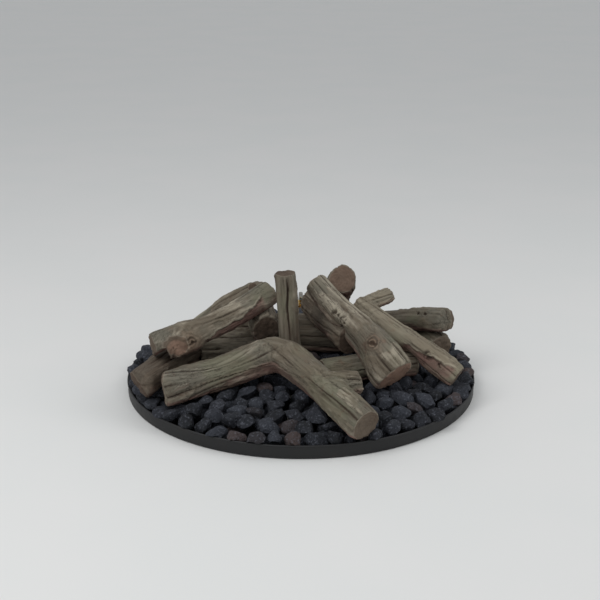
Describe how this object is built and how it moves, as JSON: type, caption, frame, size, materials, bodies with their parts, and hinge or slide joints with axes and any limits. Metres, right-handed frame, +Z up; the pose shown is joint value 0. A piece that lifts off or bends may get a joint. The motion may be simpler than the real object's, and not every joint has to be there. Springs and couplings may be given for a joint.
{
  "type": "gas log set",
  "caption": "Round gas log set: cast logs stacked campfire fashion on lava rock, in a low pan with a double ring burner, air mixer and shut-off valve.",
  "frame": {"origin": "centre of the pan's underside, on the surface that the set stands on", "axes": "+Z up, +Y to the rear along the gas line, +X to the right seen from the front"},
  "size_m": [0.7396, 0.871, 0.2812],
  "materials": {
    "cast_log": "matte cast refractory with a weathered bark surface",
    "lava_rock": "rough, porous, near black",
    "pan_steel": "matte high-temperature black",
    "burner_steel": "satin stainless",
    "brass": "machined",
    "ball_chrome": "polished",
    "fibre": "pressed fibre",
    "seat_plastic": "smooth white"
  },
  "bodies": {
    "base": {"left_base_log": "cast_log", "left_inner_log": "cast_log", "right_base_log": "cast_log", "rear_base_log": "cast_log", "rear_right_base_log": "cast_log", "left_cross_log": "cast_log", "centre_cross_log": "cast_log", "right_knotted_log": "cast_log", "right_forked_log": "cast_log", "lava_bed_right_rear": "lava_rock", "lava_bed_rear": "lava_rock", "lava_bed_left_rear": "lava_rock", "lava_bed_left_front": "lava_rock", "lava_bed_front": "lava_rock", "lava_bed_right_front": "lava_rock", "lava_bed_inner_right": "lava_rock", "lava_bed_inner_left": "lava_rock", "lava_bed_inner_front": "lava_rock", "burner_pan": "pan_steel", "ring_burner": "burner_steel", "burner_leg_1": "burner_steel", "burner_leg_2": "burner_steel", "burner_leg_3": "burner_steel", "burner_leg_4": "burner_steel", "burner_leg_nut_1": "burner_steel", "burner_leg_nut_2": "burner_steel", "burner_leg_nut_3": "burner_steel", "burner_leg_nut_4": "burner_steel", "bulkhead_inner_nut": "brass", "bulkhead_gasket": "fibre", "bulkhead_outer_nut": "brass", "air_mixer": "burner_steel", "gas_orifice": "brass", "valve_body": "brass", "valve_front_seat": "seat_plastic", "valve_rear_seat": "seat_plastic", "valve_end_cap": "brass", "valve_packing_nut": "brass", "gas_inlet_fitting": "brass"},
    "front_log": {"front_forked_log": "cast_log"},
    "left_leaning_log": {"left_knotted_log": "cast_log"},
    "left_rear_log": {"rear_left_log": "cast_log"},
    "short_top_log": {"top_log": "cast_log"},
    "right_rear_log": {"rear_right_log": "cast_log"},
    "standing_log": {"upright_log": "cast_log"},
    "shutter": {"air_shutter": "burner_steel", "shutter_lock_screw": "burner_steel"},
    "valve_handle": {"valve_lever": "burner_steel", "valve_lever_nut": "burner_steel", "valve_stem": "brass", "valve_ball": "ball_chrome"}
  },
  "joints": [
    {"name": "front_log_lift", "type": "slide", "parent": "base", "child": "front_log", "axis": [0, 0, 1], "range_m": [0, 0.3]},
    {"name": "left_leaning_log_lift", "type": "slide", "parent": "base", "child": "left_leaning_log", "axis": [0, 0, 1], "range_m": [0, 0.3]},
    {"name": "left_rear_log_lift", "type": "slide", "parent": "base", "child": "left_rear_log", "axis": [0, 0, 1], "range_m": [0, 0.3]},
    {"name": "short_top_log_lift", "type": "slide", "parent": "base", "child": "short_top_log", "axis": [0, 0, 1], "range_m": [0, 0.3]},
    {"name": "right_rear_log_lift", "type": "slide", "parent": "base", "child": "right_rear_log", "axis": [0, 0, 1], "range_m": [0, 0.3]},
    {"name": "standing_log_lift", "type": "slide", "parent": "base", "child": "standing_log", "axis": [0, 0, 1], "range_m": [0, 0.3]},
    {"name": "shutter_turn", "type": "hinge", "parent": "base", "child": "shutter", "pos_m": [0, 0.39615, 0.0135], "axis": [0, 1, 0], "range_deg": [0, 45]},
    {"name": "valve_turn", "type": "hinge", "parent": "base", "child": "valve_handle", "pos_m": [0, 0.44825, 0.0135], "axis": [0, 0, 1], "range_deg": [0, 90]}
  ]
}
